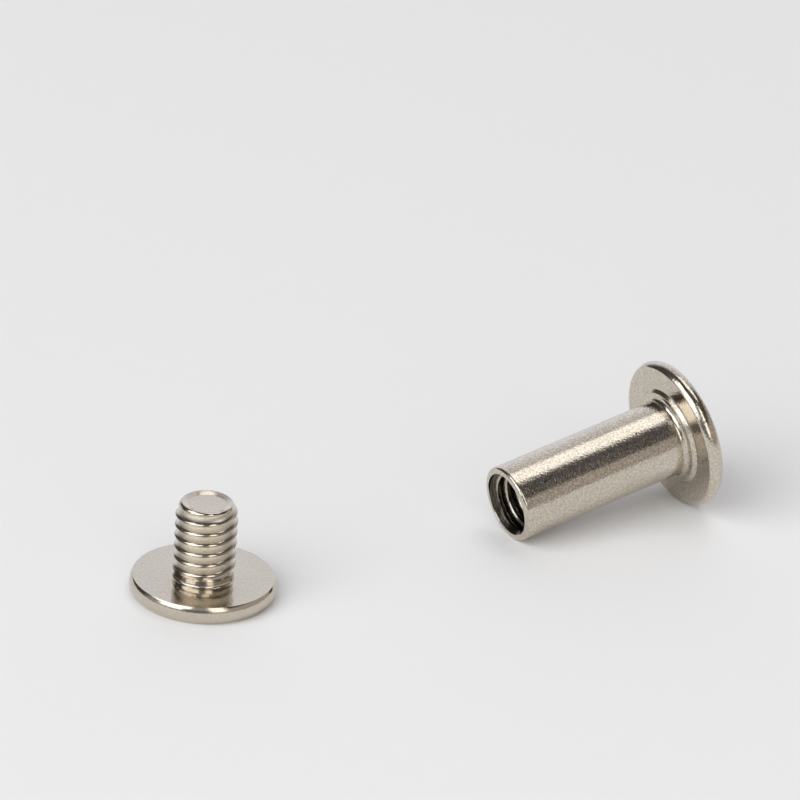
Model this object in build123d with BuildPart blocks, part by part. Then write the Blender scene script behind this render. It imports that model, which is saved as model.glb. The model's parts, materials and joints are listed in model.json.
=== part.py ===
from build123d import *
import os
from math import asin, atan, atan2, ceil, cos, degrees, hypot, radians, sin, sqrt, tan

# Binding barrel screw: a headed tube with a tapped blind bore, and the headed screw that closes it.
# The two lie apart on one flat surface. The barrel lies on the rim of its head and the edge of its
# mouth, with its mouth towards -X. The screw stands on its head in front of the mouth, thread up.
# The origin is the middle of the pair's footprint, on the surface. Lengths are in millimetres.

# ---- Thread, shared by the screw and the barrel's bore ----
thread_pitch = 0.7
thread_crest_d = 3.9  # over the screw's crests
thread_depth = 0.43
thread_root_flat = 0.16  # width of the groove's floor
thread_flank_angle = 60  # between the two flanks of a groove
crest_ease_depth = 0.1  # how far below the crest the flanks start to lean over
crest_land = 0.06  # what is left of the crest between two eased flanks
groove_lift = 0.04  # how far the groove's cutter stands out of the crest
thread_phase = 77  # angle of the groove's start about the screw's axis
tap_drill_clearance = 0.13  # between the screw's thread root and the barrel's bore, on the radius

# ---- Barrel ----
tube_d = 4.9
tube_l = 12.2  # from the mouth to the seat under the head
barrel_head_d = 9.6
barrel_head_t = 1.0
barrel_rim_fall = 0.25  # how far the bulged rim falls back at both faces
collar_foot_step = 0.7  # how far the low collar under the head stands out of the tube
collar_top_step = 0.5
collar_h = 0.22
collar_edge_cut = 0.04
root_fillet_r = 0.35  # between the collar and the tube
mouth_edge_r = 0.2
mouth_clearance = 0.1  # between the thread's crests and the countersunk mouth, on the radius
mouth_sink = 0.4
bore_end_gap = 1.8  # from the end of the bore's straight wall to the seat under the head
drill_point_angle = 118

# ---- Screw ----
screw_head_d = 9.1
screw_head_t = 1.2
screw_seat_fall = 0.18  # how far the rim falls back at the seat, on the thread's side
screw_face_fall = 0.35  # and at the outer face
shank_l = 5.06  # from the seat to the low rim round the end
end_rim_d = 3.2
end_chamfer_l = 0.6  # outside the rim
cup_d = 2.52  # flat floor of the shallow cup inside the rim
cup_depth = 0.16
neck_l = 0.45  # plain neck between the seat and the thread's run-out
neck_relief = 0.12  # how far the neck lies below the thread's crests
neck_fillet_r = 0.2
runout_turns = 0.6  # over which the groove fades out above the neck
slot_l = 6.4
slot_w = 1.1
slot_depth = 0.55

# ---- Where the two pieces lie ----
screw_ahead = 20.8  # from the mouth of the barrel to the screw's axis
screw_aside = 1.9  # from the barrel's axis to the screw's, towards +Y

barrel_head_r = barrel_head_d / 2
tube_r = tube_d / 2
screw_head_r = screw_head_d / 2
crest_r = thread_crest_d / 2
neck_r = crest_r - neck_relief
bore_r = crest_r - thread_depth + tap_drill_clearance
mouth_r = crest_r + mouth_clearance
bore_depth = tube_l - bore_end_gap
collar_foot_r = tube_r + collar_foot_step
collar_top_r = tube_r + collar_top_step

# The rim of the barrel's head is one arc between its two faces.
barrel_face_r = barrel_head_r - barrel_rim_fall
rim_arc_r = ((barrel_head_t / 2) ** 2 + barrel_rim_fall**2) / (2 * barrel_rim_fall)

# The barrel tips until the rounded mouth edge and the rim's arc touch the surface together.
contact_run = tube_l + barrel_head_t / 2 - mouth_edge_r
contact_rise = (barrel_head_r - rim_arc_r) - (tube_r - mouth_edge_r)
rest_tilt = atan2(contact_rise, contact_run)
rest_tilt += asin((rim_arc_r - mouth_edge_r) / hypot(contact_run, contact_rise))
mouth_z = (tube_r - mouth_edge_r) * cos(rest_tilt) + mouth_edge_r * (1 - sin(rest_tilt))

# The footprint is centred on the origin.
reach_ahead = screw_ahead + screw_head_r
reach_behind = (tube_l + barrel_head_t) * cos(rest_tilt) + barrel_face_r * sin(rest_tilt)
reach_left = max(barrel_head_r, screw_aside + screw_head_r)
reach_right = max(barrel_head_r, screw_head_r - screw_aside)
mouth_x = (reach_ahead - reach_behind) / 2
barrel_y = (reach_right - reach_left) / 2
screw_x = mouth_x - screw_ahead
screw_y = barrel_y + screw_aside

# Section planes, with the local x of the barrel's along its axis, and the local y of the screw's up.
barrel_along = (cos(rest_tilt), 0, sin(rest_tilt))
barrel_section = Plane(origin=(mouth_x, barrel_y, mouth_z), x_dir=barrel_along, z_dir=(0, -1, 0))
barrel_axis = Axis(barrel_section.origin, barrel_section.x_dir)
screw_section = Plane(origin=(screw_x, screw_y, 0), x_dir=(1, 0, 0), z_dir=(0, -1, 0))
screw_axis = Axis(screw_section.origin, screw_section.y_dir)

# ---- Barrel ----
# Its outside is one turned profile, in distances from the mouth and radii from the axis.
head_end = tube_l + barrel_head_t
collar_end = tube_l - collar_h
with BuildPart() as barrel:
    with BuildSketch(barrel_section) as outside:
        with BuildLine():
            Polyline((0, 0), (head_end, 0), (head_end, barrel_face_r))
            SagittaArc((head_end, barrel_face_r), (tube_l, barrel_face_r), -barrel_rim_fall)
            Polyline(
                (tube_l, barrel_face_r),
                (tube_l, collar_foot_r),
                (collar_end, collar_top_r),
                (collar_end, tube_r),
                (0, tube_r),
                (0, 0),
            )
        make_face()
        for corner, corner_r in (
            ((collar_end, tube_r), root_fillet_r),
            ((0, tube_r), mouth_edge_r),
        ):
            fillet(outside.vertices().sort_by_distance(corner)[0], radius=corner_r)
        collar_edge = outside.vertices().sort_by_distance((collar_end, collar_top_r))[0]
        chamfer(collar_edge, length=collar_edge_cut)
    revolve(axis=barrel_axis)
    # The tapped bore is drilled from the mouth to a drill point, and countersunk.
    with BuildSketch(barrel_section):
        drill_point_l = bore_r / tan(radians(drill_point_angle / 2))
        with BuildLine():
            Polyline(
                (0, 0),
                (0, mouth_r),
                (mouth_sink, bore_r),
                (bore_depth, bore_r),
                (bore_depth + drill_point_l, 0),
                (0, 0),
            )
        make_face()
    revolve(axis=barrel_axis, mode=Mode.SUBTRACT)
barrel.part.label = "barrel"

# ---- Cutters of the screw's thread ----
# The thread is one right-hand groove, cut turn by turn. Both cutters stand on the Z axis and start
# at z = 0 with the same section: one makes a full turn down, and the other fades out of the shank.
flank_slope = tan(radians(thread_flank_angle / 2))
flank_top_y = thread_root_flat / 2 + (thread_depth - crest_ease_depth) * flank_slope
crest_y = (thread_pitch - crest_land) / 2
runout_h = runout_turns * thread_pitch
runout_spread = degrees(atan(thread_depth / runout_h))


def groove_cutter(drop, spread):
    """One cutter of the groove, along a helix that drops and spreads out of the shank."""
    with BuildPart() as cutter:
        with BuildLine() as path:
            Helix(thread_pitch, drop, crest_r, direction=(0, 0, -1), cone_angle=spread)
        with BuildLine(mode=Mode.PRIVATE) as straight_turn:
            Helix(thread_pitch, thread_pitch, crest_r, direction=(0, 0, -1))
        outward = Vector((path.line @ 0).X, (path.line @ 0).Y, 0)
        with BuildSketch(Plane(path.line @ 0, x_dir=outward, z_dir=straight_turn.line % 0)):
            with BuildLine():
                Polyline(
                    (-thread_depth, 0),
                    (-thread_depth, thread_root_flat / 2),
                    (-crest_ease_depth, flank_top_y),
                    (0, crest_y),
                    (groove_lift, crest_y),
                    (groove_lift, 0),
                )
                mirror(about=Plane.XZ)
            make_face()
        sweep(path=path.line, binormal=Edge.make_line((0, 0, 0), (0, 0, -drop)))
    return cutter.part


full_turn = groove_cutter(thread_pitch, 0)
fading_turn = groove_cutter(runout_h, runout_spread)

# ---- Screw ----
# Blank: head with a bulged rim, plain neck, and the shank that carries the thread. Rolling the
# thread pushes the end up into a low rim round a shallow cup.
shank_end = screw_head_t + shank_l
neck_end = screw_head_t + neck_l
rim_widest = screw_head_t / (1 + sqrt(screw_seat_fall / screw_face_fall))
thread_start = neck_end + thread_pitch / 2 + runout_h
thread_turns = ceil((shank_end + thread_pitch / 2 - thread_start) / thread_pitch)
with BuildPart() as screw:
    with BuildSketch(screw_section) as blank:
        with BuildLine():
            Line((0, 0), (screw_head_r - screw_face_fall, 0))
            ThreePointArc(
                (screw_head_r - screw_face_fall, 0),
                (screw_head_r, rim_widest),
                (screw_head_r - screw_seat_fall, screw_head_t),
            )
            Polyline(
                (screw_head_r - screw_seat_fall, screw_head_t),
                (neck_r, screw_head_t),
                (neck_r, neck_end),
                (crest_r, neck_end + neck_relief),
                (crest_r, shank_end - end_chamfer_l),
                (end_rim_d / 2, shank_end),
                (cup_d / 2, shank_end - cup_depth),
                (0, shank_end - cup_depth),
                (0, 0),
            )
        make_face()
        neck_root = (neck_r, screw_head_t)
        fillet(blank.vertices().sort_by_distance(neck_root)[0], radius=neck_fillet_r)
    revolve(axis=screw_axis)

    # The groove fades in above the neck and winds up past the end.
    with Locations(Location((screw_x, screw_y, thread_start), (0, 0, thread_phase))):
        add(fading_turn, mode=Mode.SUBTRACT)
    for turn in range(1, thread_turns + 1):
        turn_top = thread_start + turn * thread_pitch
        with Locations(Location((screw_x, screw_y, turn_top), (0, 0, thread_phase))):
            add(full_turn, mode=Mode.SUBTRACT)

    # Driving slot in the outer face.
    with BuildSketch(Plane((screw_x, screw_y, 0), x_dir=(1, 0, 0), z_dir=(0, 0, -1))):
        SlotOverall(slot_l, slot_w, rotation=90)
    extrude(amount=-slot_depth, mode=Mode.SUBTRACT)
screw.part.label = "screw"

os.makedirs("parts", exist_ok=True)
export_step(barrel.part, "parts/barrel.step")
export_step(screw.part, "parts/screw.step")
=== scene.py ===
# %% [markdown]
# # A nickel-plated binding barrel screw
# A binding barrel screw is two turned pieces. The barrel is a headed tube with a tapped blind bore,
# and the screw is a headed stub with the matching thread. Here the barrel lies on a pale table and
# the screw stands on its head in front of it. Both are bare, bright metal, so three things carry
# the look: smooth turned surfaces, a real helical thread, and a studio for the plating to reflect.

import json
import math

import bmesh
import bpy
import numpy as np
from mathutils import Matrix, Vector


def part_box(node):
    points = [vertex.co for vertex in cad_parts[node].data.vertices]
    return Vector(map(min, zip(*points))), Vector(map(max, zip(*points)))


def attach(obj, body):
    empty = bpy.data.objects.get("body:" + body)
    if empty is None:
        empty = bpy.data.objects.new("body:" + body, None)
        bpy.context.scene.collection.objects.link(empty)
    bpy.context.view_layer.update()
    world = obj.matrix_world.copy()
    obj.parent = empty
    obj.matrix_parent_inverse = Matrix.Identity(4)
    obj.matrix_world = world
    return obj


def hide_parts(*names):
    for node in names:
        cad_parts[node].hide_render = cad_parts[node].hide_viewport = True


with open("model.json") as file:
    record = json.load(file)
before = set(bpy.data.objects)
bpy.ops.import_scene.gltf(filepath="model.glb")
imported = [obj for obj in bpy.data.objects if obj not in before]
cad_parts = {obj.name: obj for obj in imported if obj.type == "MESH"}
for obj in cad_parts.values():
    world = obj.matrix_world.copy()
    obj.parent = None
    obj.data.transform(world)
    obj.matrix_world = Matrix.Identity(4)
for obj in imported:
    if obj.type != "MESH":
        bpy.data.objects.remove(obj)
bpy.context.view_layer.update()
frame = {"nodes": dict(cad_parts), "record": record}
MM = 0.001  # the sizes below are in millimetres, and the scene is in metres
print("nodes:", sorted(frame["nodes"]))

# %% [markdown]
# ## Where the two pieces are
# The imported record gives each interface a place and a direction. The barrel's tapped bore gives its
# axis and its mouth, and the screw's own box gives the foot of its axis. Both could be typed in as
# numbers, but places taken from the frame keep the pieces on the solids even if those are laid out
# anew.

# %% Read the axes from the frame
mounts = {mount["name"]: mount for mount in frame["record"]["mounts"]}
MOUTH_SINK = 0.4  # depth of the countersink, from the mouth to the bore's straight wall
BORE_R = mounts["barrel_thread"]["dims"]["r_mm"]
BORE_WALL_L = mounts["barrel_thread"]["dims"]["length_mm"]

barrel_out = Vector(mounts["barrel_thread"]["axis"]).normalized()
barrel_mouth = Vector(mounts["barrel_thread"]["pos_m"])
barrel_mouth += barrel_out * (BORE_WALL_L / 2 + MOUTH_SINK) * MM

screw_low, screw_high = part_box("screw")
screw_middle = (screw_low + screw_high) / 2
screw_foot = Vector((screw_middle.x, screw_middle.y, screw_low.z))
print("barrel mouth, mm:", [round(c / MM, 2) for c in barrel_mouth])
print("screw foot, mm:", [round(c / MM, 2) for c in screw_foot])

# %% [markdown]
# ## Turned surfaces
# A lathe makes a surface from one profile. So does this helper: it takes a profile as radius and
# height, and lays a ring of points at each. Spinning an edge in the viewport gives the same mesh,
# but written as rings it shares its columns of points with the thread further down, so that the two
# close up without a gap. Corners are rounded by a true arc, because a sharp edge on polished metal
# shows no highlight.

# %% Profiles with rounded corners


def arc_points(centre, first, last, steps):
    """Points of an arc about centre, between two radii that are given as vectors from it."""
    turn = first.angle_signed(last)
    points = [centre + Matrix.Rotation(-turn * k / steps, 2) @ first for k in range(steps + 1)]
    return [(p.x, p.y) for p in points]


def rounded(corners, steps=6):
    """A profile through (radius, height, corner radius) points, with each corner an arc."""
    out = []
    for i, (r, z, corner_r) in enumerate(corners):
        here = Vector((r, z))
        if not corner_r:
            out.append((r, z))
            continue
        back = (Vector(corners[i - 1][:2]) - here).normalized()
        on = (Vector(corners[i + 1][:2]) - here).normalized()
        half = back.angle(on) / 2
        centre = here + (back + on).normalized() * corner_r / math.sin(half)
        first = here + back * corner_r / math.tan(half) - centre
        last = here + on * corner_r / math.tan(half) - centre
        out += arc_points(centre, first, last, steps)
    return out


def arc_through(a, b, c, steps=24):
    """Points of the arc from a through b to c, all (radius, height)."""
    (ax, ay), (bx, by), (cx, cy) = a, b, c
    d = 2 * (ax * (by - cy) + bx * (cy - ay) + cx * (ay - by))
    qa, qb, qc = ax * ax + ay * ay, bx * bx + by * by, cx * cx + cy * cy
    centre = Vector((qa * (by - cy) + qb * (cy - ay) + qc * (ay - by),
                     qa * (cx - bx) + qb * (ax - cx) + qc * (bx - ax))) / d
    return arc_points(centre, Vector(a) - centre, Vector(c) - centre, steps)


# %% Rings of points from a profile
COLUMNS = 192  # points round every ring


def turned(name, profile):
    """A mesh of rings, one for each (radius, height).

    A radius may be a list with one value for each column. A radius of 0 is a single point on the
    axis.
    """
    angles = np.arange(COLUMNS) * 2 * math.pi / COLUMNS
    points, rings = [], []
    for radius, height in profile:
        if np.ndim(radius) == 0 and radius == 0:
            rings.append([len(points)] * COLUMNS)
            points.append((0, 0, height * MM))
            continue
        radii = np.broadcast_to(radius, COLUMNS)
        rings.append(list(range(len(points), len(points) + COLUMNS)))
        points += [(r * math.cos(t) * MM, r * math.sin(t) * MM, height * MM)
                   for r, t in zip(radii, angles)]
    faces = []
    for low, high in zip(rings, rings[1:]):
        for k in range(COLUMNS):
            j = (k + 1) % COLUMNS
            quad = [low[k], low[j], high[j], high[k]]
            faces.append(list(dict.fromkeys(quad)))  # a triangle where a ring is one point
    mesh = bpy.data.meshes.new(name)
    mesh.from_pydata(points, [], faces)
    print(f"{name}: {len(profile)} rings, {len(faces)} faces")
    return mesh


# %% [markdown]
# ## The thread as a node tree
# A thread repeats by a rule: one groove climbs a pitch for each turn. A screw modifier can sweep a
# section along that path, but it leaves the run-out, the bevel and the ends to be cut by hand. This
# tree starts from a grid instead. Its columns go round the axis and its rows climb with the helix,
# so that crests and roots follow edges of the mesh. Each point then gets the radius that the lathe
# and the die would leave there: the plain wall, or the groove where that is deeper. The same tree
# makes the screw's thread, cut inwards, and the barrel's, cut outwards.

# %% Helpers for node trees
TOUCHING = 1e-7  # metres; points nearer to each other than this are one point
TINY = 1e-9  # as good as nothing, where a division can't have 0


def add_node(tree, kind, links=None, **settings):
    """A new node with its settings, and its inputs set or linked by name or place."""
    node = tree.nodes.new(kind)
    for key, value in settings.items():
        setattr(node, key, value)
    for key, value in (links or {}).items():
        if isinstance(value, bpy.types.NodeSocket):
            tree.links.new(value, node.inputs[key])
        else:
            node.inputs[key].default_value = value
    return node


def calc(tree, operation, *values):
    """A Math node's result."""
    links = {i: value for i, value in enumerate(values)}
    return add_node(tree, "ShaderNodeMath", links, operation=operation).outputs[0]


def clamped_ramp(tree, value, start, length):
    """0 before start, 1 after start + length, and straight between."""
    rise = calc(tree, "DIVIDE", calc(tree, "SUBTRACT", value, start), length)
    return calc(tree, "MAXIMUM", calc(tree, "MINIMUM", rise, 1.0), 0.0)


# %% The sizes that the tree asks for
THREAD_SIZES = {  # metres, unless the name says otherwise; heights are from the thread's foot
    "Wall Radius": 1.95 * MM,
    "Cut Direction": -1.0,  # -1 cuts towards the axis, 1 away from it
    "Pitch": 0.7 * MM,
    "Length": 5.0 * MM,
    "Groove Depth": 0.43 * MM,
    "Root Flat": 0.16 * MM,
    "Flank Slope": math.tan(math.radians(30)),  # from half the angle between two flanks
    "Root Rounding": 0.06 * MM,
    "Crest Rounding": 0.12 * MM,
    "Groove Height": 0.0,  # of the groove's middle, where it passes the +X side
    "Runout Start": 0.1 * MM,
    "Runout Length": 0.5 * MM,
    "Neck Length": 0.1 * MM,
    "Neck Depth": 0.06 * MM,
    "Bevel Length": 0.5 * MM,
    "Bevel Depth": 0.5 * MM,
}
THREAD_COUNTS = {"Columns": COLUMNS, "Rows per Pitch": 24}
print("thread sizes:", len(THREAD_SIZES))

# %% The grid, with rows that climb


def climbing_grid(tree, size):
    """A flat grid, and each point's turn round the axis and height up it.

    The grid is one pitch longer than the thread, because its rows climb by a pitch. What stands
    out at the ends is pressed flat onto them.
    """
    whole_pitches = calc(tree, "DIVIDE", size["Length"], size["Pitch"])
    pitches = calc(tree, "CEIL", calc(tree, "ADD", whole_pitches, 1.0))
    rows = calc(tree, "MULTIPLY", pitches, size["Rows per Pitch"])
    grid = add_node(tree, "GeometryNodeMeshGrid", {
        "Size X": 1.0, "Size Y": 1.0,
        "Vertices X": calc(tree, "ADD", size["Columns"], 1.0),
        "Vertices Y": calc(tree, "ADD", rows, 1.0),
    })
    position = add_node(tree, "GeometryNodeInputPosition").outputs[0]
    place = add_node(tree, "ShaderNodeSeparateXYZ", {0: position})
    turn = calc(tree, "ADD", place.outputs["X"], 0.5)
    row = calc(tree, "ADD", place.outputs["Y"], 0.5)
    climb = calc(tree, "ADD", calc(tree, "MULTIPLY", row, pitches),
                 calc(tree, "SUBTRACT", turn, 1.0))
    height = calc(tree, "MULTIPLY", climb, size["Pitch"])
    height = calc(tree, "MAXIMUM", calc(tree, "MINIMUM", height, size["Length"]), 0.0)
    return grid.outputs["Mesh"], turn, height


# %% How deep each point lies


def groove_depth(tree, size, turn, height):
    """The groove's depth, from each point's distance to the middle of the groove."""
    turns_up = calc(tree, "SUBTRACT", height, size["Groove Height"])
    turns_up = calc(tree, "DIVIDE", turns_up, size["Pitch"])
    phase = calc(tree, "SUBTRACT", turns_up, turn)
    away = calc(tree, "ABSOLUTE", calc(tree, "SUBTRACT", phase, calc(tree, "ROUND", phase)))
    away = calc(tree, "MULTIPLY", away, size["Pitch"])
    beyond_flat = calc(tree, "SUBTRACT", away, calc(tree, "MULTIPLY", size["Root Flat"], 0.5))
    flank_rise = calc(tree, "DIVIDE", beyond_flat, size["Flank Slope"])
    flank = calc(tree, "SUBTRACT", size["Groove Depth"], flank_rise)
    groove = calc(tree, "SMOOTH_MIN", flank, size["Groove Depth"], size["Root Rounding"])
    grown = clamped_ramp(tree, height, size["Runout Start"], size["Runout Length"])
    # The drop lifts a faded groove clear of the wall, out of reach of the crest's rounding.
    drop = calc(tree, "ADD", size["Groove Depth"],
                calc(tree, "MULTIPLY", size["Crest Rounding"], 2.0))
    faded = calc(tree, "MULTIPLY", calc(tree, "SUBTRACT", 1.0, grown), drop)
    return calc(tree, "SUBTRACT", groove, faded)


def blank_depth(tree, size, height):
    """The blank's depth: a bevel at the open end and a plain neck at the other."""
    bevel_start = calc(tree, "SUBTRACT", size["Length"], size["Bevel Length"])
    bevel = clamped_ramp(tree, height, bevel_start, size["Bevel Length"])
    bevel = calc(tree, "MULTIPLY", bevel, size["Bevel Depth"])
    # The neck ends in a 45 degree cone, over a length equal to its depth.
    past_neck = clamped_ramp(tree, height, size["Neck Length"], size["Neck Depth"])
    neck = calc(tree, "MULTIPLY", calc(tree, "SUBTRACT", 1.0, past_neck), size["Neck Depth"])
    return calc(tree, "MAXIMUM", bevel, neck)


# %% Wrap the grid round the axis


def thread_tree():
    """The whole tree, from its named sizes to the finished thread."""
    tree = bpy.data.node_groups.new("turned_thread", "GeometryNodeTree")
    for kind, inputs in (("NodeSocketFloat", THREAD_SIZES), ("NodeSocketInt", THREAD_COUNTS)):
        for name, default in inputs.items():
            socket = tree.interface.new_socket(name, in_out="INPUT", socket_type=kind)
            socket.default_value = default
    tree.interface.new_socket("Material", in_out="INPUT", socket_type="NodeSocketMaterial")
    tree.interface.new_socket("Thread", in_out="OUTPUT", socket_type="NodeSocketGeometry")
    size = add_node(tree, "NodeGroupInput").outputs

    grid, turn, height = climbing_grid(tree, size)
    groove = groove_depth(tree, size, turn, height)
    blank = blank_depth(tree, size, height)
    cut = calc(tree, "SMOOTH_MAX", groove, blank, size["Crest Rounding"])
    radius = calc(tree, "ADD", size["Wall Radius"],
                  calc(tree, "MULTIPLY", cut, size["Cut Direction"]))
    angle = calc(tree, "MULTIPLY", turn, 2 * math.pi)
    point = add_node(tree, "ShaderNodeCombineXYZ", {
        "X": calc(tree, "MULTIPLY", radius, calc(tree, "COSINE", angle)),
        "Y": calc(tree, "MULTIPLY", radius, calc(tree, "SINE", angle)),
        "Z": height,
    })
    skin = grid
    for kind, links in (
        ("GeometryNodeSetPosition", {"Position": point.outputs[0]}),
        ("GeometryNodeMergeByDistance", {"Distance": TOUCHING}),
        ("GeometryNodeRealizeInstances", {}),
        ("GeometryNodeSetMaterial", {"Material": size["Material"]}),
    ):
        skin = add_node(tree, kind, {"Geometry": skin, **links}).outputs[0]
    add_node(tree, "NodeGroupOutput", {"Thread": skin})
    return tree


THREAD = thread_tree()
print("thread tree:", len(THREAD.nodes), "nodes")

# %% [markdown]
# ## Running the tree once
# A modifier would work the thread out again at each change of the scene. It is run once here, and
# what it made is kept as a plain mesh, which can be joined to the turned surfaces. A modifier knows
# an input by its identifier and not by its name, so the names are looked up first.

# %% Cut a thread


def cut_thread(name, material, **sizes):
    """The thread as a mesh along +Z. Sizes are named as in the tree, with _ for a space."""
    host = bpy.data.objects.new(name, bpy.data.meshes.new(name))
    bpy.context.scene.collection.objects.link(host)
    modifier = host.modifiers.new("thread", "NODES")
    modifier.node_group = THREAD
    wanted = {key.replace("_", " "): value for key, value in sizes.items()}
    wanted["Material"] = material
    for item in THREAD.interface.items_tree:
        if item.item_type == "SOCKET" and item.in_out == "INPUT" and item.name in wanted:
            modifier[item.identifier] = wanted.pop(item.name)
    assert not wanted, f"no such size: {wanted}"
    evaluated = host.evaluated_get(bpy.context.evaluated_depsgraph_get())
    mesh = bpy.data.meshes.new_from_object(evaluated)
    bpy.data.objects.remove(host)
    print(f"{name}: {len(mesh.polygons)} faces")
    return mesh


def top_radii(mesh):
    """The radius of a thread's highest ring, in millimetres, for each column."""
    top = max(vertex.co.z for vertex in mesh.vertices)
    out = [0.0] * COLUMNS
    for vertex in mesh.vertices:
        if top - vertex.co.z < TOUCHING:
            turn = math.atan2(vertex.co.y, vertex.co.x) / (2 * math.pi)
            out[round(turn * COLUMNS) % COLUMNS] = math.hypot(vertex.co.x, vertex.co.y) / MM
    return np.array(out)


# %% [markdown]
# ## Joining the surfaces of one piece
# A turned piece is one closed skin. Its surfaces meet in rings of the same points, so merging those
# points closes it, and the count of open edges proves it. Edges that turn by more than a set angle
# are marked sharp, so that round stretches shade smoothly and faces stay crisp. Each point also
# keeps a share of painted shade or light and of matt skin, for the plating below. That is worked out
# while the piece still stands on its own axis, where a point's radius says whether it lies in a
# groove. Then the mesh is moved to its place, and the object itself stays at the origin.

# %% Join, close and shade
SHARP_ANGLE = math.radians(28)


def one_piece(name, meshes, material, matrix, matt_and_painted_light):
    """One closed object in place, made from meshes that meet in shared rings.

    The last argument gives the share of painted shade or light and of matt skin, from a point's
    radius and height, in millimetres.
    """
    skin = bmesh.new()
    for mesh in meshes:
        skin.from_mesh(mesh)
        bpy.data.meshes.remove(mesh)
    bmesh.ops.remove_doubles(skin, verts=skin.verts, dist=TOUCHING)
    bmesh.ops.recalc_face_normals(skin, faces=skin.faces)
    open_edges = sum(not edge.is_manifold for edge in skin.edges)
    for face in skin.faces:
        face.smooth = True
        face.material_index = 0  # a cut thread brings a second slot, and this piece has one
    mesh = bpy.data.meshes.new(name)
    skin.to_mesh(mesh)
    volume = skin.calc_volume(signed=True) / MM**3
    skin.free()
    mesh.materials.append(material)
    mesh.set_sharp_from_angle(angle=SHARP_ANGLE)
    points = np.array([vertex.co for vertex in mesh.vertices]) / MM
    shares = matt_and_painted_light(np.hypot(points[:, 0], points[:, 1]), points[:, 2])
    # The share marks where the plating paints shade or light into the colour, and where its skin is
    # matt.
    mesh.attributes.new("matt_and_painted_light", "FLOAT", "POINT").data.foreach_set("value", shares)
    mesh.transform(matrix)
    piece = bpy.data.objects.new(name, mesh)
    bpy.context.scene.collection.objects.link(piece)
    print(f"{name}: {len(mesh.polygons)} faces, {open_edges} open edges, {volume:.1f} cubic mm")
    return piece


def ramp(value, start, length):
    """0 before start, 1 after start + length, and straight between, for arrays."""
    return np.clip((value - start) / length, 0, 1)


# %% [markdown]
# ## Bright nickel plating
# Nickel is a warm grey metal, and the colour here is close to that of measured nickel. Plating over
# a turned blank keeps a faint grain, like the skin of an orange, and a few pits. Two bump layers
# roughen the reflections: a fine grain that frays their edges, and a slower waviness that bends
# them. A painted texture would do neither. Object coordinates carry the patterns, so they stay at
# one real scale on both pieces.
#
# Plating isn't alike all over. It is thin and dull deep in the bore, and matt in the roots of the
# rolled thread. A point attribute says where, and mixes in a second tone and roughness: painted
# shade in the bore, painted light in the roots.

# %% Noise, ranges and tones


def noise(tree, where, feature, detail):
    """A noise with features about this many millimetres wide."""
    links = {"Vector": where, "Scale": 1 / (feature * MM), "Detail": detail}
    return add_node(tree, "ShaderNodeTexNoise", links).outputs["Fac"]


def between(tree, value, low, high, at_low, at_high, **settings):
    """Maps low to at_low and high to at_high, and holds the value at both ends."""
    links = {"Value": value, "From Min": low, "From Max": high,
             "To Min": at_low, "To Max": at_high}
    return add_node(tree, "ShaderNodeMapRange", links, **settings).outputs[0]


def times(tree, first, second, share=1.0):
    """The first colour, multiplied by as much of the second as the share says."""
    links = {0: share, 6: first, 7: second}
    mix = add_node(tree, "ShaderNodeMix", links, data_type="RGBA", blend_type="MULTIPLY")
    return mix.outputs[2]


def bump(tree, height, depth, normal=None):
    """The normal over a surface that rises and falls by this many millimetres."""
    links = {"Height": height, "Strength": 1.0, "Distance": depth * MM}
    if normal:
        links["Normal"] = normal
    return add_node(tree, "ShaderNodeBump", links).outputs[0]


# %% The plating material
NICKEL = (0.605, 0.55, 0.465)
GRAIN_SIZE = 0.13  # millimetres, as the three sizes below it
PIT_SIZE = 0.45
PATCH_SIZE = 0.5
WAVE_SIZE = 0.9
GRAIN_RANGE = (0.35, 0.65)  # where nearly all of a noise's values lie
PATCH_RANGE = (0.3, 0.7)
PIT_EDGE = 0.05  # how far round a pit its tone reaches, as a step of the noise
PIT_TONE = 0.35


def nickel(name, grain_light_and_shade, pits, grain, wave, rough, painted_light_tone, dull_rough):
    """Plated metal.

    The spread of the grain's tone is painted light and shade, darker in the grain's valleys and
    lighter on its rises; pits is the value of the noise below which a pit opens. grain and wave
    are the depths of the two bump layers, in millimetres. rough is the lowest and the highest
    roughness. The tone where the skin is dull paints shade or light into the colour, and
    dull_rough is the roughness there.
    """
    material = bpy.data.materials.new(name)
    material.use_nodes = True
    tree = material.node_tree
    tree.nodes.clear()
    where = add_node(tree, "ShaderNodeTexCoord").outputs["Object"]
    share = add_node(tree, "ShaderNodeAttribute", attribute_name="matt_and_painted_light").outputs["Fac"]

    skin = noise(tree, where, GRAIN_SIZE, detail=2)
    # The grain's tone is painted light and shade: darker in its valleys, lighter on its rises.
    grain_shade_tone = between(tree, skin, *GRAIN_RANGE, 1 - grain_light_and_shade, 1 + grain_light_and_shade)
    tone = times(tree, (*NICKEL, 1), grain_shade_tone)
    hollows = noise(tree, where, PIT_SIZE, detail=1)
    tone = times(tree, tone, between(tree, hollows, pits, pits + PIT_EDGE, PIT_TONE, 1.0))
    # Where the share is high, the tone is multiplied by painted shade or painted light.
    tone = times(tree, tone, (*painted_light_tone, 1), share)

    patches = between(tree, noise(tree, where, PATCH_SIZE, detail=3), *PATCH_RANGE, *rough)
    roughness = between(tree, share, 0.0, 1.0, patches, dull_rough)
    slow = bump(tree, noise(tree, where, WAVE_SIZE, detail=1), wave)
    shader = add_node(tree, "ShaderNodeBsdfPrincipled", {
        "Metallic": 1.0, "Base Color": tone, "Roughness": roughness,
        "Normal": bump(tree, skin, grain, slow),
    })
    add_node(tree, "ShaderNodeOutputMaterial", {"Surface": shader.outputs[0]})
    print(f"{name}: {len(tree.nodes)} nodes")
    return material
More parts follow.
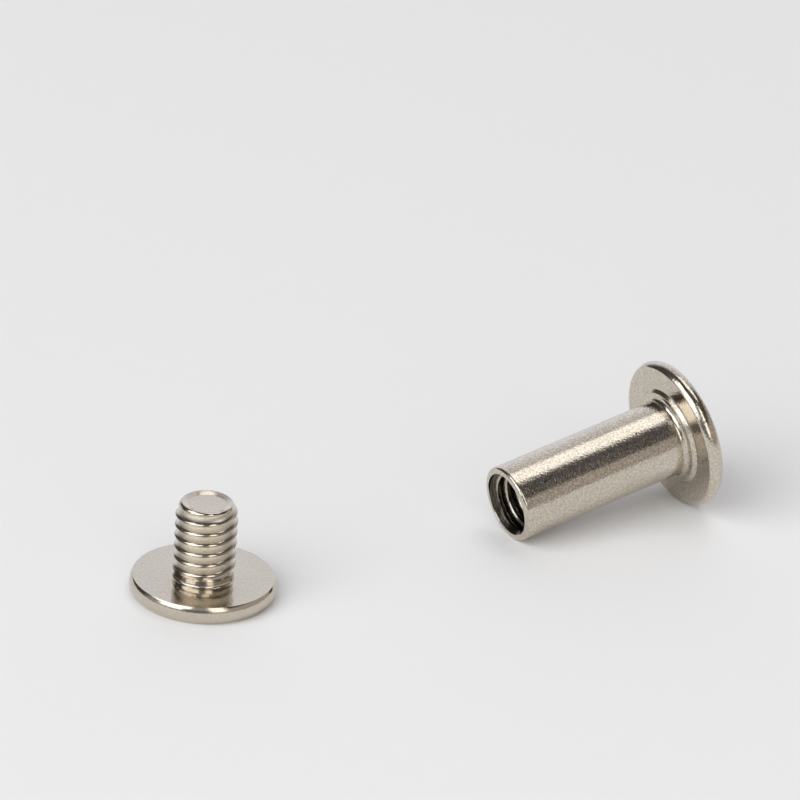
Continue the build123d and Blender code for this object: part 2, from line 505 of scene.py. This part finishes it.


# %% [markdown]
# ## The two platings
# Both pieces have the same metal, but not the same skin. The barrel's is coarser, with more painted
# shade in its grain and a few pits. Its dull tone is painted shade, nearly black, for the dark inside
# a blind bore. The screw's is painted light, paler than its bright skin, for the light its matt roots
# scatter instead of mirroring the dark parts of the room. One material with a switch could serve
# both, but two let each be set on its own.

# %% Make the two platings
# The barrel's second tone is painted shade for its bore; the screw's, below, is painted light for its
# roots.
barrel_plating = nickel(
    "nickel_barrel", grain_light_and_shade=0.2, pits=0.19, grain=0.009, wave=0.003, rough=(0.1, 0.16),
    painted_light_tone=(0.06, 0.055, 0.05), dull_rough=0.2,
)
screw_plating = nickel(
    "nickel_screw", grain_light_and_shade=0.055, pits=0.0, grain=0.004, wave=0.003, rough=(0.1, 0.15),
    painted_light_tone=(1.5, 1.53, 1.6), dull_rough=0.55,
)

# %% [markdown]
# ## The screw's thread
# The screw starts as a blank with a flat head, a short neck and a plain shank. Dies roll the thread
# into the shank, so its crests and roots are round, and the groove fades out above the neck. At the
# other end it runs out through a bevel. The crests could stay sharp, but on a thread this small
# their soft highlights are most of what is seen.

# %% Sizes of the screw
PITCH = 0.7
CREST_R = 1.95
SCREW_HEAD_R = 4.55
SCREW_HEAD_T = 1.2
SCREW_FACE_FALL = 0.35  # how far the rim falls back at the head's outer face
SCREW_SEAT_FALL = 0.18  # and at the seat
SHANK_L = 5.06  # from the seat to the rim round the end
NECK_DEPTH = 0.12
NECK_L = 0.45
NECK_FILLET = 0.2
END_RIM_R = 1.56
END_BEVEL_L = 0.6
END_ROUND = 0.12  # the rim's rounded edge
CUP_R = 1.16
CUP_DEPTH = 0.16
SLOT_L, SLOT_W, SLOT_DEPTH = 6.4, 1.1, 0.55

RIM_TOP = SCREW_HEAD_T + SHANK_L
THREAD_FOOT = SCREW_HEAD_T + NECK_FILLET
THREAD_TOP = RIM_TOP - END_ROUND
print(f"screw: {RIM_TOP:.2f} mm high, solid {(screw_high.z - screw_low.z) / MM:.2f} mm")

# %% Cut the screw's thread
GROOVE_Z = 1.92  # height of the groove's middle where it passes the +X side
RUNOUT_Z = 1.35  # height at which the groove starts to grow
RUNOUT_L = 0.55
ROLLED_ROOT_FLAT = 0.08
ROLLED_ROOT_ROUND = 0.1
ROLLED_CREST_ROUND = 0.25

screw_thread = cut_thread(
    "screw_thread", screw_plating,
    Wall_Radius=CREST_R * MM, Cut_Direction=-1.0, Pitch=PITCH * MM,
    Length=(THREAD_TOP - THREAD_FOOT) * MM,
    Groove_Height=(GROOVE_Z - THREAD_FOOT) * MM,
    Runout_Start=(RUNOUT_Z - THREAD_FOOT) * MM, Runout_Length=RUNOUT_L * MM,
    Neck_Length=(NECK_L - NECK_FILLET) * MM, Neck_Depth=NECK_DEPTH * MM,
    Bevel_Length=END_BEVEL_L * MM, Bevel_Depth=(CREST_R - END_RIM_R - END_ROUND) * MM,
    Root_Flat=ROLLED_ROOT_FLAT * MM, Root_Rounding=ROLLED_ROOT_ROUND * MM,
    Crest_Rounding=ROLLED_CREST_ROUND * MM,
)
screw_thread.transform(Matrix.Translation((0, 0, THREAD_FOOT * MM)))

# %% [markdown]
# ## The screw's head and end
# The head has a bulged rim, and a driving slot with round ends in its outer face, which is turned
# down here. A boolean could cut the slot, but it leaves long thin faces that shade badly. Here one
# ring of the lathe takes the slot's outline instead, so the outer face runs from that ring to the
# rim. The ring's radius in each column is where a ray from the axis meets the outline.
#
# Rolling also pushes the end up into a low rim round a shallow cup. Its rings meet the top of the
# thread.

# %% The slot's outline


def slot_radii():
    """The distance from the axis to the slot's closed outline, for each column."""
    straight, end_r = (SLOT_L - SLOT_W) / 2, SLOT_W / 2
    out = []
    for k in range(COLUMNS):
        x, y = math.cos(2 * math.pi * k / COLUMNS), math.sin(2 * math.pi * k / COLUMNS)
        to_side = end_r / max(abs(x), TINY)
        if to_side * abs(y) <= straight:
            out.append(to_side)
        else:
            to_end_middle = straight * abs(y)
            out.append(to_end_middle + math.sqrt(to_end_middle**2 - straight**2 + end_r**2))
    return out


slot = slot_radii()
print(f"slot: {2 * max(slot):.2f} x {2 * min(slot):.2f} mm")

# %% Turn the head and the end
FACE_R = SCREW_HEAD_R - SCREW_FACE_FALL
SEAT_R = SCREW_HEAD_R - SCREW_SEAT_FALL
NECK_R = CREST_R - NECK_DEPTH
WIDEST_Z = SCREW_HEAD_T / (1 + math.sqrt(SCREW_SEAT_FALL / SCREW_FACE_FALL))

head_rim = arc_through((FACE_R, 0), (SCREW_HEAD_R, WIDEST_Z), (SEAT_R, SCREW_HEAD_T))
neck_fillet = rounded([
    (SEAT_R, SCREW_HEAD_T, 0), (NECK_R, SCREW_HEAD_T, NECK_FILLET), (NECK_R, RIM_TOP, 0),
])[1:-1]
screw_head = turned("screw_head", [
    (0, SLOT_DEPTH), (slot, SLOT_DEPTH), (slot, 0), *head_rim, *neck_fillet,
])

# The groove leaves through the rim, so the rim's rings stay inside the groove's floor.
thread_end = top_radii(screw_thread)
cup = rounded([
    (END_RIM_R + END_ROUND, THREAD_TOP, 0),
    (END_RIM_R, RIM_TOP, END_ROUND),
    (CUP_R, RIM_TOP - CUP_DEPTH, END_ROUND),
    (0, RIM_TOP - CUP_DEPTH, 0),
], steps=4)[1:]
screw_end = turned("screw_end", [
    (thread_end, THREAD_TOP), *[(np.minimum(r, thread_end) if r else r, z) for r, z in cup],
])

# %% Join the screw
ROOTS_FROM = 0.08  # below the crests, where the matt skin and painted light start
ROOTS_OVER = 0.3  # and the depth over which it comes in


def roots_matt_and_painted_light(r, z):
    """Rolling burnishes the crests of the screw's thread and leaves its roots matt; they also get
    painted light.
    """
    threaded = (z > SCREW_HEAD_T + NECK_L) & (z < RIM_TOP - END_BEVEL_L / 2) & (r > CUP_R)
    return ramp(CREST_R - r, ROOTS_FROM, ROOTS_OVER) * threaded


screw = one_piece(
    "screw_plated", [screw_head, screw_thread, screw_end], screw_plating,
    Matrix.Translation(screw_foot), roots_matt_and_painted_light,
)

# %% [markdown]
# ## The barrel's thread
# The barrel is turned from one bar. Its bore is drilled from the mouth to a drill point, then
# countersunk and tapped. The tap cuts outwards into the bore's wall, so the same tree makes this
# thread with its cut turned round, and its bevel becomes the countersink. The thread stops short
# of the bore's end, where a tap can't reach. A dark painted pattern could stand for it, but the
# bright crests just inside the mouth are what tell the eye that the hole is tapped.

# %% Sizes of the barrel
TUBE_R = 2.45
TUBE_L = 12.2  # from the mouth to the seat under the head
HEAD_R = 4.8
HEAD_T = 1.0
HEAD_EDGE = 0.12  # the round between the seat and the head's rim
RIM_FALL = 0.25  # how far the bulged rim falls back at both faces
COLLAR_FOOT_R = 3.15
COLLAR_FOOT_ROUND = 0.05
COLLAR_TOP_R = 2.95
COLLAR_TOP_ROUND = 0.06
COLLAR_H = 0.22
ROOT_FILLET = 0.35  # between the collar and the tube
MOUTH_EDGE = 0.2
MOUTH_R = 2.05
BORE_DEPTH = MOUTH_SINK + BORE_WALL_L
DRILL_ANGLE = math.radians(118)
DRILL_POINT = BORE_R / math.tan(DRILL_ANGLE / 2)
print(f"barrel: {TUBE_L + HEAD_T:.1f} mm long, bored {BORE_DEPTH:.1f} mm deep")

# %% Cut the barrel's thread
TAPPED_L = 8.4
TAP_DEPTH = 0.42
TAP_HEIGHT = 0.475  # of the groove's middle above the thread's foot, on the +X side
TAP_ROOT_FLAT = 0.14
TAP_ROOT_ROUND = 0.03
TAP_CREST_ROUND = 0.2
TAP_RUNOUT_FROM = 0.3
TAP_RUNOUT_L = 1.0
TAP_ROWS = 16  # to a pitch; fewer than the screw's, because less of it shows

barrel_thread = cut_thread(
    "barrel_tapping", barrel_plating,
    Wall_Radius=BORE_R * MM, Cut_Direction=1.0, Pitch=PITCH * MM, Length=TAPPED_L * MM,
    Groove_Height=TAP_HEIGHT * MM, Groove_Depth=TAP_DEPTH * MM,
    Root_Flat=TAP_ROOT_FLAT * MM, Root_Rounding=TAP_ROOT_ROUND * MM,
    Crest_Rounding=TAP_CREST_ROUND * MM,
    Runout_Start=TAP_RUNOUT_FROM * MM, Runout_Length=TAP_RUNOUT_L * MM,
    Neck_Length=0.0, Neck_Depth=TINY,  # no neck
    Bevel_Length=MOUTH_SINK * MM, Bevel_Depth=(MOUTH_R - BORE_R) * MM, Rows_per_Pitch=TAP_ROWS,
)
barrel_thread.transform(Matrix.Translation((0, 0, -TAPPED_L * MM)))

# %% [markdown]
# ## The barrel's outside
# The outside is one profile: the head's outer face, its bulged rim, the flat seat, a low collar
# with a fillet, and the tube up to its rounded mouth. It could be built from stacked cylinders, but
# then each joint would need its own round. The mouth is at height 0 and the head below it, so the
# heights are negative.

# %% Turn the outside and the end of the bore
BARREL_FACE_R = HEAD_R - RIM_FALL
OUTER_FACE_Z = -TUBE_L - HEAD_T

barrel_rim = arc_through(
    (BARREL_FACE_R, OUTER_FACE_Z), (HEAD_R, -TUBE_L - HEAD_T / 2), (BARREL_FACE_R, -TUBE_L),
)
# The arc's last point is the corner that HEAD_EDGE rounds, so the profile takes over before it.
seat_to_mouth = rounded([
    (*barrel_rim[-2], 0),
    (BARREL_FACE_R, -TUBE_L, HEAD_EDGE),
    (COLLAR_FOOT_R, -TUBE_L, COLLAR_FOOT_ROUND),
    (COLLAR_TOP_R, -TUBE_L + COLLAR_H, COLLAR_TOP_ROUND),
    (TUBE_R, -TUBE_L + COLLAR_H, ROOT_FILLET),
    (TUBE_R, 0, MOUTH_EDGE),
    (MOUTH_R, 0, 0),
], steps=8)[:-1]
barrel_outside = turned("barrel_outside", [
    (0, OUTER_FACE_Z), *barrel_rim[:-2], *seat_to_mouth, (top_radii(barrel_thread), 0),
])
barrel_bottom = turned("barrel_bottom", [
    (BORE_R, -TAPPED_L), (BORE_R, -BORE_DEPTH), (0, -BORE_DEPTH - DRILL_POINT),
])

# %% [markdown]
# ## Painted shade in the bore
# Plating hardly reaches into a blind bore, so its wall is dull, and painted shade makes it dark. Only
# the crests of its thread and a thin line at the mouth keep their bright tone. Faint lighter rings in
# the countersink stand for marks of its tool. Darkness could be left to the render alone, but bright
# walls pass light on from one to the next, and the bore would look lit from inside.

# %% Join the barrel
BRIGHT_EDGE = 0.05  # depth of the line at the mouth that keeps its bright tone, free of painted shade
TOOL_MARK = 0.13  # from one ring in the countersink to the next
TOOL_MARK_SHARE = 0.12  # how much less painted shade a ring's crest has
CREST_SHARE = 0.1  # of painted shade on the crests of the thread
GROOVE_SHARE = 0.6  # of painted shade that a groove adds
GROOVE_FROM = 0.05  # depth in a groove at which that starts
GROOVE_OVER = 0.2  # and the depth over which it comes in
SINK_TO = 0.34  # depth in the bore at which the rings give way to the thread
SINK_OVER = 0.04  # and the depth over which they do


def bore_painted_shade(r, z):
    """Painted shade in the bore: lighter rings in the countersink, then grooves darker than their
    crests.
    """
    inside = (r < TUBE_R - MOUTH_EDGE) & (z > -TUBE_L)
    behind_edge = ramp(-z, 0, BRIGHT_EDGE)
    rings = 1 - TOOL_MARK_SHARE / 2 * (1 + np.cos(2 * math.pi * z / TOOL_MARK))
    grooves = CREST_SHARE + GROOVE_SHARE * ramp(r - BORE_R, GROOVE_FROM, GROOVE_OVER)
    sunk = ramp(-z, SINK_TO, SINK_OVER)
    return inside * behind_edge * (rings * (1 - sunk) + grooves * sunk)


def standing_on(origin, up):
    """The matrix that turns a piece made along +Z so that it stands at origin along up."""
    side = Vector((0, 1, 0))
    across = side.cross(up).normalized()
    return Matrix.Translation(origin) @ Matrix((across, side, up)).transposed().to_4x4()


barrel = one_piece(
    "barrel_plated", [barrel_outside, barrel_thread, barrel_bottom], barrel_plating,
    standing_on(barrel_mouth, barrel_out), bore_painted_shade,
)

# %% [markdown]
# ## Standing in for the solids
# The imported solids stay in the physics model. They could be shown as they are, but their faces are
# flat triangles, and polished metal shows each one. So they are hidden, and the two finished pieces
# are shown in their place and ride on the same body.

for piece, node, finish in ((barrel, "barrel", "nickel_barrel"), (screw, "screw", "nickel_screw")):
    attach(piece, "root")
    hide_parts(node)
    print(f"{piece.name} stands for {node}")

# %% [markdown]
# ## The table
# Polished metal is a picture of its room, and the lower half of this one is a plain pale table. It
# is far larger than the camera sees, because the pieces mirror it out to its edge. A single colour
# would look like paper, so a slow mottle moves the paint's tone a little.

# %% Lay the table
TABLE_HALF = 1.5  # metres
MOTTLE_SCALE = 12.0  # patches to a metre
TABLE_TONES = (0.812, 0.813, 0.817), (0.832, 0.833, 0.837)
TABLE_ROUGHNESS = 0.7

corners = [(x * TABLE_HALF, y * TABLE_HALF, 0) for x, y in ((-1, -1), (1, -1), (1, 1), (-1, 1))]
table_mesh = bpy.data.meshes.new("table")
table_mesh.from_pydata(corners, [], [(0, 1, 2, 3)])
table = bpy.data.objects.new("table", table_mesh)
bpy.context.scene.collection.objects.link(table)

table_paint = bpy.data.materials.new("table_paint")
table_paint.use_nodes = True
paint_tree = table_paint.node_tree
paint_tree.nodes.clear()
table_place = add_node(paint_tree, "ShaderNodeTexCoord").outputs["Object"]
mottle = add_node(paint_tree, "ShaderNodeTexNoise", {
    "Vector": table_place, "Scale": MOTTLE_SCALE, "Detail": 2.0,
})
table_tone = add_node(paint_tree, "ShaderNodeValToRGB", {"Fac": mottle.outputs["Fac"]})
for element, colour in zip(table_tone.color_ramp.elements, TABLE_TONES):
    element.color = (*colour, 1)
paint = add_node(paint_tree, "ShaderNodeBsdfPrincipled", {
    "Base Color": table_tone.outputs[0], "Roughness": TABLE_ROUGHNESS,
})
add_node(paint_tree, "ShaderNodeOutputMaterial", {"Surface": paint.outputs[0]})
table_mesh.materials.append(table_paint)
print(f"table: {2 * TABLE_HALF:.0f} m square, paint of {len(paint_tree.nodes)} nodes")

# %% [markdown]
# ## The camera
# Small hardware is shot from half a metre away with a long lens, which draws the near piece and the
# far one at nearly the same scale. The camera looks down at the table and is rolled a little. It
# could be aimed with a Track To constraint, but its own three directions say the same in a few
# lines, and the studio below is laid out from them too.

# %% Aim the camera
CAM_TARGET = Vector((10.24, 18.61, 0)) * MM
CAM_DISTANCE = 0.528  # metres
CAM_DOWN = math.radians(26.06)
CAM_HEADING = math.radians(33.7)  # of the view, from +Y towards +X
CAM_ROLL = math.radians(3.82)
CAM_LENS = 368.5
CAM_CLIP = 0.01  # metres

flat_forward = Vector((math.sin(CAM_HEADING), math.cos(CAM_HEADING), 0))
flat_right = Vector((math.cos(CAM_HEADING), -math.sin(CAM_HEADING), 0))
forward = flat_forward * math.cos(CAM_DOWN) - Vector((0, 0, math.sin(CAM_DOWN)))
upward = flat_right.cross(forward)
right = flat_right * math.cos(CAM_ROLL) + upward * math.sin(CAM_ROLL)
upward = upward * math.cos(CAM_ROLL) - flat_right * math.sin(CAM_ROLL)

camera_data = bpy.data.cameras.new("camera")
camera_data.lens = CAM_LENS
camera_data.clip_start = CAM_CLIP
camera = bpy.data.objects.new("camera", camera_data)
bpy.context.scene.collection.objects.link(camera)
camera_turn = Matrix((right, upward, -forward)).transposed().to_4x4()
camera.matrix_world = Matrix.Translation(CAM_TARGET - forward * CAM_DISTANCE) @ camera_turn
bpy.context.scene.camera = camera
print("camera, mm:", [round(c / MM) for c in camera.matrix_world.translation])

# %% [markdown]
# ## The room that the metal reflects
# The upper half of the room is drawn on the world: a light wall behind, a soft box overhead, three
# more beside the camera, and darkness between them. Panels in the scene would do the same, but they
# would shade each other and stand in the way of every other view. A card is a patch of one colour
# with soft edges, placed by how far it lies to the side and how high, in degrees.

# %% Directions and distances on the world
world = bpy.data.worlds.new("studio")
bpy.context.scene.world = world
world.use_nodes = True
world_tree = world.node_tree
world_tree.nodes.clear()
sky = add_node(world_tree, "ShaderNodeTexCoord").outputs["Generated"]


def heading(azimuth, elevation):
    """A direction by degrees: azimuth from straight behind the object to the right, and up."""
    a, e = math.radians(azimuth), math.radians(elevation)
    level = flat_forward * math.cos(a) + flat_right * math.sin(a)
    return level * math.cos(e) + Vector((0, 0, math.sin(e)))


def along(direction):
    """How far each direction of the sky points along this one."""
    links = {0: sky, 1: direction}
    dot = add_node(world_tree, "ShaderNodeVectorMath", links, operation="DOT_PRODUCT")
    return dot.outputs["Value"]


def degrees_of(operation, *values):
    """An angle from a Math node, in degrees."""
    return calc(world_tree, "DEGREES", calc(world_tree, operation, *values))


height_seen = degrees_of("ARCSINE", along((0, 0, 1)))


def card(picture, azimuth, elevation, size, softness, colour):
    """Lay a card of one colour over the picture of the room. Places and sizes are degrees."""
    side_seen = degrees_of("ARCTAN2", along(heading(azimuth + 90, 0)), along(heading(azimuth, 0)))
    off_middle = side_seen, calc(world_tree, "SUBTRACT", height_seen, elevation)
    inside = [
        between(world_tree, calc(world_tree, "ABSOLUTE", off), full / 2 - soft, full / 2 + soft,
                1.0, 0.0, interpolation_type="SMOOTHSTEP")
        for off, full, soft in zip(off_middle, size, softness)
    ]
    links = {0: calc(world_tree, "MULTIPLY", *inside), 6: picture, 7: (*colour, 1)}
    return add_node(world_tree, "ShaderNodeMix", links, data_type="RGBA").outputs[2]


# %% Hang the cards
ROOM = (0.089, 0.086, 0.087)
CARDS = (
    # azimuth, elevation, size, softness, colour; a later card hides an earlier one
    (105, 0, (150, 60), (30, 4), (0.46, 0.42, 0.39)),  # low wall on the right
    (-90, 0, (150, 40), (25, 8), (0.37, 0.40, 0.46)),  # low wall on the left
    (-60, 12, (56, 44), (8, 6), (0.08, 0.07, 0.06)),  # a dark flag in front of it
    (5, 10, (70, 98), (14, 6), (0.77, 0.77, 0.79)),  # wall behind, its upper part
    (0, 0, (60, 66), (16, 16), (0.93, 0.95, 1.05)),  # wall behind, its brighter foot
    (38, 76.5, (130, 32), (8, 1.5), (1.60, 1.57, 1.56)),  # soft box overhead
    (-139, 34, (52, 46), (5, 5), (2.10, 2.14, 2.17)),  # soft box left of the camera
    (-104, 44, (26, 34), (5, 4), (2.3, 2.3, 2.3)),  # a smaller one further to the left
    (154, 34, (28, 46), (5, 5), (1.88, 1.83, 1.75)),  # soft box right of the camera
    (180, 30, (22, 30), (4, 4), (0.40, 0.40, 0.41)),  # the camera's own dark shape
    (-174, 8, (44, 34), (4, 4), (0.20, 0.20, 0.20)),  # and its stand
)
picture = (*ROOM, 1)
for place in CARDS:
    picture = card(picture, *place)
background = add_node(world_tree, "ShaderNodeBackground", {"Color": picture})
add_node(world_tree, "ShaderNodeOutputWorld", {"Surface": background.outputs[0]})
print(f"room: {len(CARDS)} cards, {len(world_tree.nodes)} nodes")

# %% [markdown]
# ## The lamp over the table
# The cards alone leave the table too dark, and its shadows without a direction. One broad round
# lamp, high on the left of the camera, lights it and lays soft shadows. The metal doesn't see this
# lamp, so the reflections stay as the cards draw them.

# %% Set up the lamp
LAMP_WIDTH = 0.9  # metres
LAMP_POWER = 2.65  # watts
LAMP_AZIMUTH, LAMP_ELEVATION = -150, 36  # degrees
LAMP_DISTANCE = 0.6  # metres

lamp_data = bpy.data.lights.new("table_lamp", "AREA")
lamp_data.shape = "DISK"
lamp_data.size = LAMP_WIDTH
lamp_data.energy = LAMP_POWER
lamp = bpy.data.objects.new("table_lamp", lamp_data)
bpy.context.scene.collection.objects.link(lamp)
lamp_from = heading(LAMP_AZIMUTH, LAMP_ELEVATION) * LAMP_DISTANCE
lamp_turn = lamp_from.to_track_quat("Z", "Y").to_matrix().to_4x4()
lamp.matrix_world = Matrix.Translation(lamp_from) @ lamp_turn
lamp.visible_glossy = False
bpy.context.scene.view_settings.view_transform = "Standard"
print("lamp, mm:", [round(c / MM) for c in lamp_from])
